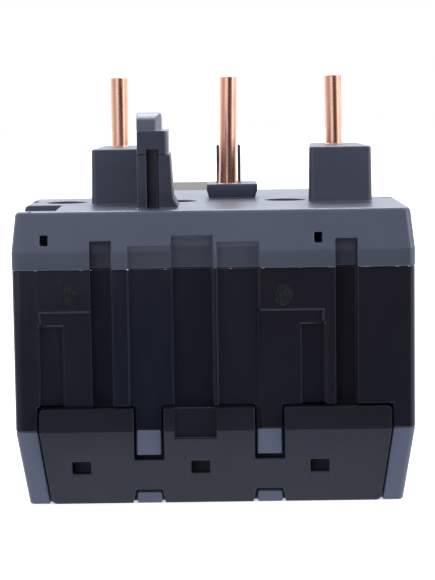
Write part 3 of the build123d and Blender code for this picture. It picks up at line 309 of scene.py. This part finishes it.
def softCopy(node, name, body, bevel, *zones):
    # copy of a moulding with its edges rounded, and painted light and shade: lighter or darker copies of its finish
    # on the faces centred in each zone
    bm = copySolid(node)
    if bevel.get("convexOnly"):
        weight = bm.edges.layers.float.new("bevel_weight_edge")
        for edge in bm.edges:
            if edge.is_convex and edge.calc_face_angle(0) > math.radians(bevelAngle):
                edge[weight] = 1
    for i, zone in enumerate(zones):
        low, high = zone["box"]
        for face in bm.faces:
            middle = face.calc_center_median() / mm
            if all(a < b < c for a, b, c in zip(low, middle, high)):
                face.material_index = i + 1
    return finishPiece(bm, name, body, slotOf[node], replaced=[node], bevel=bevel,
                       others=[zone["finish"] for zone in zones])


# painted shade: a darker copy of the cover grey on the hook of the top cover
hookPaintedShade = mouldedPlastic("hookPaintedShade", {
    "colour": rgb(47, 51, 62), "variation": 0.06, "grainScale": 2600, "grainTone": 0.1, "grainDepth": 0.35,
    "rough": 0.36, "roughRange": 0.12, "speckScale": 420, "speckTone": 0.6})
# painted shade: a darker copy of the cover grey on every face above the top plane, sleeves included
upperPaintedShade = mouldedPlastic("upperPaintedShade", {
    "colour": rgb(70, 74, 87), "variation": 0.06, "grainScale": 2600, "grainTone": 0.1, "grainDepth": 0.35,
    "rough": 0.36, "roughRange": 0.12, "speckScale": 420, "speckTone": 0.6})
# painted shade: a darker copy of the cover grey on the upright band below the crease of the cover's rear face
bandPaintedShade = mouldedPlastic("bandPaintedShade", {
    "colour": rgb(65, 70, 82), "variation": 0.07, "grainScale": 2600, "grainTone": 0.1, "grainDepth": 0.35,
    "rough": 0.38, "roughRange": 0.14, "speckScale": 420, "speckTone": 0.8})
# painted shade: darker cover grey inside the recessed middle flutes of the cover's rear face
recessPaintedShade = mouldedPlastic("recessPaintedShade", {
    "colour": rgb(56, 61, 73), "variation": 0.07, "grainScale": 2600, "grainTone": 0.08, "grainDepth": 0.35,
    "rough": 0.42, "roughRange": 0.14, "speckScale": 420, "speckTone": 0.5})
# painted light: a lighter copy of the cover grey on the collar of the top cover
collarPaintedLight = mouldedPlastic("collarPaintedLight", {
    "colour": rgb(82, 87, 103), "variation": 0.06, "grainScale": 2600, "grainTone": 0.1, "grainDepth": 0.35,
    "rough": 0.36, "roughRange": 0.12, "speckScale": 420, "speckTone": 0.6})
# painted light: a lighter copy of the cover grey on the nose of the hook
nosePaintedLight = mouldedPlastic("nosePaintedLight", {
    "colour": rgb(84, 88, 101), "variation": 0.06, "grainScale": 2600, "grainTone": 0.12, "grainDepth": 0.35,
    "rough": 0.3, "roughRange": 0.12, "speckScale": 420, "speckTone": 0.6})
# painted shade: a darker, duller copy of the plate grey on the plate's upright top band
platePaintedShade = mouldedPlastic("platePaintedShade", {
    "colour": rgb(20, 22, 30), "variation": 0.09, "grainScale": 1900, "grainTone": 0.12, "grainDepth": 0.3,
    "ior": 1.28, "rough": 0.44, "roughRange": 0.16, "speckScale": 520, "speckTone": 0.6, "cloudScale": 110})
# painted shade: darker grey on the recessed seat of the terminal base behind the plate
seatPaintedShade = mouldedPlastic("seatPaintedShade", {
    "colour": rgb(28, 32, 43), "variation": 0.06, "grainScale": 2600, "grainTone": 0.05, "grainDepth": 0.3,
    "rough": 0.6, "roughRange": 0.1, "speckScale": 420, "speckTone": 0.2})
# painted shade: darker, rougher cover grey inside the two deep outer flutes of the cover
flutePaintedShade = mouldedPlastic("flutePaintedShade", {
    "colour": rgb(46, 51, 65), "variation": 0.06, "grainScale": 2600, "grainTone": 0.06, "grainDepth": 0.3,
    "rough": 0.5, "roughRange": 0.12, "speckScale": 420, "speckTone": 0.3})
# the zones after each bevel paint light and shade onto the mouldings as lighter or darker copies of their grey
mouldings = {
    "top_cover": ("coverShell", "body", {"width": 0.3, "segments": 3},
                  {"box": ((-40, -60, 55.7), (40, 60, 90)), "finish": upperPaintedShade},
                  {"box": ((-14.7, -46, 55.7), (-6.9, -33, 90)), "finish": hookPaintedShade},
                  {"box": ((-40, -50.2, 44.4), (40, -49.9, 47.9)), "finish": bandPaintedShade},
                  {"box": ((-16.2, -48.9, 44.4), (8.7, -46.5, 50.2)), "finish": recessPaintedShade},
                  {"box": ((-3.0, -46, 55.7), (10.5, -5, 59.5)), "finish": collarPaintedLight},
                  {"box": ((-15.2, -46, 67.6), (-6.0, -33, 90)), "finish": nosePaintedLight},
                  {"box": ((-23.2, -49.2, 44.5), (-19.0, -40, 50.2)), "finish": flutePaintedShade},
                  {"box": ((22.7, -49.2, 44.5), (26.9, -40, 50.2)), "finish": flutePaintedShade}),
    "main_housing": ("housingShell", "body", {"width": 0.22, "segments": 3}),
    "rear_plate": ("rearPlate", "body", {"width": 0.25, "segments": 3},
                   {"box": ((-40, -51, 14.1), (40, -46.6, 18.2)), "finish": platePaintedShade}),
    "terminal_base": ("baseTray", "body", {"width": 0.3, "segments": 3, "convexOnly": True},
                      {"box": ((-31, -47.0, 0.5), (31, -45.9, 17.5)), "finish": seatPaintedShade}),
    "control_head": ("controlHead", "body", {"width": 0.25, "segments": 2}),
    "aux_terminal_block": ("auxBlock", "body", {"width": 0.12, "segments": 2}),
}
for node, (name, body, bevel, *zones) in mouldings.items():
    softCopy(node, name, body, bevel, *zones)
print("mouldings:", len(mouldings))

# line pins: the middle one leans a little and thickens at its foot, and all three have sheared ends
pinShape = {"y": -10.5, "bottom": 57.5, "radius": 1.7, "cuts": (0.15, 0.3, 0.5, 0.75), "end": 0.6,
            "bevel": {"width": 0.1, "segments": 3, "angle": 28}}
pins = {
    "line_pin_left": {"name": "linePinLeft", "at": -18.9, "lean": 0.0, "foot": 0.0, "shear": 0.05, "turn": 20},
    "line_pin_middle": {"name": "linePinMiddle", "at": 3.1, "lean": 0.42, "foot": 0.22, "shear": 0.04, "turn": 200},
    "line_pin_right": {"name": "linePinRight", "at": 25.1, "lean": -0.2, "foot": 0.0, "shear": 0.05, "turn": 110},
}


def linePin(node, pin):
    bm = copySolid(node)
    top = max(v.co.z for v in bm.verts)
    bottom = pinShape["bottom"] * mm
    for height in pinShape["cuts"]:
        plane = bottom + height * (top - bottom)
        bmesh.ops.bisect_plane(bm, geom=bm.verts[:] + bm.edges[:] + bm.faces[:], plane_co=(0, 0, plane),
                               plane_no=(0, 0, 1))
    axis = pin["at"] * mm
    side = math.radians(pin["turn"])
    for vert in bm.verts:
        rise = (vert.co.z - bottom) / (top - bottom)
        if rise <= 0:
            continue
        across = Vector((vert.co.x - axis, vert.co.y - pinShape["y"] * mm, 0))
        vert.co += across.normalized() * (pin["foot"] * mm * (1 - rise) ** 3)
        vert.co.x += pin["lean"] * mm * rise
        if top - vert.co.z < pinShape["end"] * mm:
            slope = across.dot(Vector((math.cos(side), math.sin(side), 0))) / (pinShape["radius"] * mm)
            vert.co.z -= pin["shear"] * mm * (1 + slope)
    return finishPiece(bm, pin["name"], "body", slotOf[node], replaced=[node], bevel=pinShape["bevel"])


for node, pin in pins.items():
    linePin(node, pin)
print("line pins:", len(pins))

# button springs: closed coils
springs = {
    "stop_spring": {"name": "stopSpring", "joint": "stop_press", "travel": 2.0, "length": 8.2},
    "test_spring": {"name": "testSpring", "joint": "test_press", "travel": 2.0, "length": 8.2},
    "reset_spring": {"name": "resetSpring", "joint": "reset_press", "travel": 2.5, "length": 7.0},
}
for node, spring in springs.items():
    coil = finishPiece(copySolid(node, joinFlats=False), spring["name"], "body", slotOf[node], replaced=[node])
    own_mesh(coil)
print("springs:", len(springs))

# printed current scale round the dial, by angle from its top, and the inlay of the dial's pointer
scale = {"x": -4.4, "z": 43.0, "face": 48.0, "thick": 0.04, "stroke": 0.17, "size": 0.3, "step": 15,
         "values": {-150: "30", -90: "34", -30: "38", 30: "42", 90: "46", 150: "50"}, "radius": 9.15,
         "pitch": 2.9, "margin": 0.45, "spread": 0.55, "tickInner": 8.0, "tickLong": 8.45, "tickShort": 8.25}
pointer = {"start": (0, 5.45), "end": (0, 7.15), "width": 0.95, "thick": 0.12, "face": 47.5}
# strokes of each digit, on a grid 2 wide and 4 high
digits = {
    "0": [(0.5, 0), (1.5, 0), (2, 0.7), (2, 3.3), (1.5, 4), (0.5, 4), (0, 3.3), (0, 0.7), (0.5, 0)],
    "2": [(0, 3.3), (0.5, 4), (1.5, 4), (2, 3.4), (2, 2.6), (0, 0), (2, 0)],
    "3": [(0, 3.6), (0.5, 4), (1.5, 4), (2, 3.2), (1.3, 2.2), (2, 1.3), (2, 0.7), (1.5, 0), (0.5, 0), (0, 0.5)],
    "4": [(1.5, 0), (1.5, 4), (0, 1.2), (2, 1.2)],
    "5": [(1.9, 4), (0.2, 4), (0, 2.2), (1.4, 2.5), (2, 1.8), (2, 0.8), (1.4, 0), (0.4, 0), (0, 0.5)],
    "6": [(1.8, 3.7), (1.2, 4), (0.5, 4), (0, 3), (0, 0.8), (0.5, 0), (1.5, 0), (2, 0.7), (2, 1.5), (1.5, 2.2),
          (0.5, 2.2), (0, 1.6)],
    "8": [(0.9, 2.2), (0.2, 2.8), (0.3, 3.6), (0.7, 4), (1.3, 4), (1.7, 3.6), (1.8, 2.8), (1.1, 2.2), (1.8, 1.6),
          (2, 0.7), (1.5, 0), (0.5, 0), (0, 0.7), (0.2, 1.6), (0.9, 2.2)],
}
# from a drawing's right, up and out to the front face of the relay
facing = Matrix(((-1, 0, 0), (0, 0, 1), (0, 1, 0)))


def drawStroke(bm, start, end, width, thick):
    run = Vector(end) - Vector(start)
    bar = bmesh.ops.create_cube(bm, size=1)["verts"]
    bmesh.ops.scale(bm, verts=bar, vec=(run.length + width, width, thick))
    bmesh.ops.rotate(bm, verts=bar, matrix=Matrix.Rotation(math.atan2(run.y, run.x), 3, "Z"))
    bmesh.ops.translate(bm, verts=bar, vec=((start[0] + end[0]) / 2, (start[1] + end[1]) / 2, thick / 2))


def finishPrint(bm, name, body, depth, slot, ink):
    bmesh.ops.scale(bm, verts=bm.verts, vec=(mm, mm, mm))
    bmesh.ops.rotate(bm, verts=bm.verts, matrix=facing)
    bmesh.ops.translate(bm, verts=bm.verts, vec=(scale["x"] * mm, depth * mm, scale["z"] * mm))
    return finishPiece(bm, name, body, slot, material=ink, smooth=False)


whiteInk = mouldedPlastic("whiteInk", {
    "colour": rgb(214, 214, 208), "variation": 0.04, "grainScale": 4000, "grainTone": 0.02, "grainDepth": 0.1,
    "rough": 0.5, "roughRange": 0.1, "speckScale": 600, "speckTone": 0.1})
blackInk = mouldedPlastic("blackInk", {
    "colour": rgb(26, 26, 29), "variation": 0.04, "grainScale": 4000, "grainTone": 0.02, "grainDepth": 0.1,
    "rough": 0.5, "roughRange": 0.1, "speckScale": 600, "speckTone": 0.1})
bm = bmesh.new()
for degrees in range(min(scale["values"]), max(scale["values"]) + 1, scale["step"]):
    turn = math.radians(degrees)
    inner, outer = scale["tickInner"], scale["tickLong" if degrees in scale["values"] else "tickShort"]
    drawStroke(bm, (inner * math.sin(turn), inner * math.cos(turn)), (outer * math.sin(turn), outer * math.cos(turn)),
               scale["stroke"], scale["thick"])
for degrees, value in scale["values"].items():
    turn = math.radians(degrees)
    size = scale["size"]
    middle = Vector((scale["radius"] * math.sin(turn), scale["radius"] * math.cos(turn)))
    middle += Vector((scale["spread"] * math.sin(turn), 0))
    for i, digit in enumerate(value):
        corner = middle + Vector(((i - 1) * scale["pitch"] + scale["margin"], -2)) * size
        points = [corner + Vector(point) * size for point in digits[digit]]
        for start, end in zip(points, points[1:]):
            drawStroke(bm, start, end, scale["stroke"], scale["thick"])
finishPrint(bm, "currentScale", "body", scale["face"], "cover_plastic", whiteInk)
bm = bmesh.new()
drawStroke(bm, pointer["start"], pointer["end"], pointer["width"], pointer["thick"])
finishPrint(bm, "dialPointer", "dial", pointer["face"], "dial_plastic", blackInk)
print("scale values:", len(scale["values"]))

# marks of the ejector pins on the polished housing
ejectorMarks = {
    "ejectorMarkLeft": {"centre": (-27.05, 40.2), "radii": (1.25, 2.25)},
    "ejectorMarkRight": {"centre": (13.06, 39.45), "radii": (1.75, 2.2)},
}
markShape = {"depth": 0.16, "rim": 0.05, "rear": -49.3, "narrowing": 0.94, "waves": {3: 0.035, 7: 0.025}}
markFinish = Finish("ejectorMark")
crust = markFinish.noise(2600, 5, rough=0.7)
fleck = markFinish.ramp(markFinish.noise(4200, 3), 0.56, 0.7)
markBase = markFinish.mix(markFinish.ramp(crust, 0.35, 0.7), rgb(13, 14, 18), rgb(33, 33, 37))
markBase = markFinish.mix(fleck * 0.3, markBase, rgb(104, 103, 104))
markFinish.feed(Base_Color=markBase, Roughness=0.6, IOR=1.25, Normal=markFinish.bump(crust, 0.7, 0.00015))
for name, mark in ejectorMarks.items():
    bm = bmesh.new()
    bmesh.ops.create_cone(bm, segments=48, radius1=mm, radius2=mm * markShape["narrowing"],
                          depth=markShape["depth"] * mm, cap_ends=True)
    rim = [e for e in bm.edges if all(v.co.z > 0 for v in e.verts)]
    bmesh.ops.bevel(bm, geom=rim, offset=markShape["rim"] * mm, segments=2, profile=0.5, affect="EDGES",
                    material=-1)
    bmesh.ops.rotate(bm, verts=bm.verts, matrix=Matrix.Rotation(math.radians(90), 3, "X"))
    bmesh.ops.scale(bm, verts=bm.verts, vec=(mark["radii"][0], 1, mark["radii"][1]))
    for vert in bm.verts:
        turn = math.atan2(vert.co.z, vert.co.x)
        (slow, deep), (fast, shallow) = markShape["waves"].items()
        ragged = 1 + deep * math.sin(slow * turn + mark["radii"][0]) + shallow * math.sin(fast * turn)
        vert.co.x *= ragged
        vert.co.z *= ragged
    across, height = mark["centre"]
    bmesh.ops.translate(bm, verts=bm.verts, vec=(across * mm, markShape["rear"] * mm, height * mm))
    finishPiece(bm, name, "body", "housing_plastic", material=markFinish.material, smooth=False)
print("ejector marks:", len(ejectorMarks))

# crumbs of flash along the parting line: x, length, height
flash = {"line": 44.62, "rear": -49.72,
         "crumbs": [(-33.2, 0.7, 0.12), (-24.7, 0.5, 0.12), (-22.9, 0.35, 0.1), (-16.1, 0.55, 0.2), (-9.0, 0.5, 0.1),
                    (3.2, 0.5, 0.09), (9.3, 0.5, 0.14), (16.2, 0.25, 0.16), (21.9, 1.6, 0.08), (28.4, 2.6, 0.09),
                    (34.2, 1.2, 0.12), (36.4, 0.5, 0.15)]}
bm = bmesh.new()
for i, (x, long, high) in enumerate(flash["crumbs"]):
    crumb = bmesh.ops.create_icosphere(bm, subdivisions=2, radius=0.5 * mm)["verts"]
    for vert in crumb:
        vert.co *= 1 + 0.25 * math.sin(9000 * vert.co.x + 7000 * vert.co.z + i)
    bmesh.ops.scale(bm, verts=crumb, vec=(long, 0.3, high))
    bmesh.ops.translate(bm, verts=crumb, vec=(x * mm, flash["rear"] * mm, flash["line"] * mm))
finishPiece(bm, "partingFlash", "body", "cover_plastic", material=mouldedPlastic("flashGrey", {
    "colour": rgb(196, 198, 202), "variation": 0.1, "grainScale": 4000, "grainTone": 0.1, "grainDepth": 0.3,
    "rough": 0.5, "roughRange": 0.1, "speckScale": 600, "speckTone": 0.2}))
print("flash:", len(flash["crumbs"]))


# how bright the room is round the relay, by bearing from the camera side towards the right, in degrees
studio = {
    "floorSize": 3.0, "floorTone": 0.93, "floorRough": 0.8, "floorGlow": 0.5, "tableGlow": 1.1,
    "ring": [(-180, 1.2), (-120, 1.35), (-95, 0.8), (-52, 0.7), (-38, 1.6), (-14, 1.6), (-4, 0.3), (2, 0.05),
             (38, 0.05), (48, 0.8), (66, 1.5), (95, 1.5), (120, 1.5), (180, 1.2)],
    "sky": (0.75, 1.9), "lowFront": 0.07, "lowSides": 0.5, "tint": (0.92, 0.96, 1.07, 1),
    "upFrom": (0.18, 0.5), "downFrom": (-0.26, -0.42), "skyFrom": (-0.7, 0.5), "lowFrom": (-0.85, -0.6),
    "levelFrom": (-0.11, -0.06), "behindFrom": (-0.1, 0.3),
    "lamps": {
        "overhead": {"size": (0.9, 0.6), "at": (0, 0.6, 0.9), "aim": (0, 0, 0.03), "power": 9},
        "sideRight": {"size": (0.2, 0.5), "at": (0.8, -0.35, 0.35), "aim": (0, 0, 0.05), "power": 2},
    },
}


def makeStudio():
    bm = bmesh.new()
    bmesh.ops.create_grid(bm, x_segments=1, y_segments=1, size=studio["floorSize"])
    mesh = bpy.data.meshes.new("floor")
    bm.to_mesh(mesh)
    bm.free()
    floor = bpy.data.objects.new("floor", mesh)
    for kind in ("glossy", "diffuse", "shadow"):
        setattr(floor, "visible_" + kind, False)
    bpy.context.scene.collection.objects.link(floor)
    paper = Finish("paper")
    tone = studio["floorTone"]
    mesh.materials.append(paper.feed(Base_Color=(tone, tone, tone, 1), Roughness=studio["floorRough"],
                                     Emission_Color=(1, 1, 1, 1), Emission_Strength=studio["floorGlow"]))
    world = bpy.data.worlds.new("studio")
    world.use_nodes = True
    bpy.context.scene.world = world
    room = Nodes(world.node_tree)
    bearing = room.node("ShaderNodeTexCoord", output="Generated")
    x, y, z = (room.node("ShaderNodeSeparateXYZ", None, {0: bearing}, output=axis) for axis in "XYZ")
    turn = room.node("ShaderNodeMath", {"operation": "ARCTAN2"}, {0: x, 1: 0 - y})
    stops = [((degrees + 180) / 360, (tone / 4,) * 3) for degrees, tone in studio["ring"]]
    around = room.node("ShaderNodeValToRGB", {"stops": stops}, {0: room.ramp(turn, -math.pi, math.pi)})
    around = room.node("ShaderNodeRGBToBW", None, {0: around}) * 4
    up = room.ramp(z, *studio["upFrom"], interpolation="SMOOTHERSTEP")
    down = room.ramp(z, *studio["downFrom"], interpolation="SMOOTHERSTEP")
    sky = room.ramp(y, *studio["skyFrom"], *studio["sky"])
    low = room.ramp(y, *studio["lowFrom"], studio["lowFront"], studio["lowSides"])
    for height in (room.ramp(z, *studio["levelFrom"]), room.ramp(y, *studio["behindFrom"])):
        low = room.node("ShaderNodeMath", {"operation": "MAXIMUM"}, {0: low, 1: height})
    level = around * low * (1 - up) * (1 - down) + up * sky + down * studio["tableGlow"]
    lit = room.node("ShaderNodeBackground", None, {"Color": studio["tint"], "Strength": level})
    plain = room.node("ShaderNodeBackground", None, {"Color": (1, 1, 1, 1)})
    cameraRay = room.node("ShaderNodeLightPath", output="Is Camera Ray")
    shown = room.node("ShaderNodeMixShader", None, {0: cameraRay, 1: lit, 2: plain})
    room.tree.links.new(shown.socket, room.tree.nodes["World Output"].inputs["Surface"])
    for name, lamp in studio["lamps"].items():
        light = bpy.data.lights.new(name, "AREA")
        light.shape = "RECTANGLE"
        light.size, light.size_y = lamp["size"]
        light.energy = lamp["power"]
        holder = bpy.data.objects.new(name, light)
        holder.location = lamp["at"]
        holder.rotation_euler = (Vector(lamp["aim"]) - Vector(lamp["at"])).to_track_quat("-Z", "Y").to_euler()
        bpy.context.scene.collection.objects.link(holder)


def makeCamera():
    # from behind the relay, a little above its top, slightly rolled
    view = {"at": (0.0007, -0.39937, 0.07843), "tilt": 6.178, "roll": 0.776, "focal": 1885.158, "tall": 580.0,
            "sensor": 24.0, "near": 0.01}
    data = bpy.data.cameras.new("camera")
    data.sensor_fit = "VERTICAL"
    data.sensor_height = view["sensor"]
    data.lens = view["focal"] / view["tall"] * data.sensor_height
    camera = bpy.data.objects.new("camera", data)
    tilt = Matrix.Rotation(math.radians(90 - view["tilt"]), 4, "X")
    roll = Matrix.Rotation(math.radians(-view["roll"]), 4, "Z")
    camera.matrix_world = Matrix.Translation(view["at"]) @ tilt @ roll
    data.clip_start = view["near"]
    bpy.context.scene.collection.objects.link(camera)
    bpy.context.scene.camera = camera


makeStudio()
makeCamera()
bpy.context.scene.view_settings.view_transform = "Standard"
print("studio and camera set")
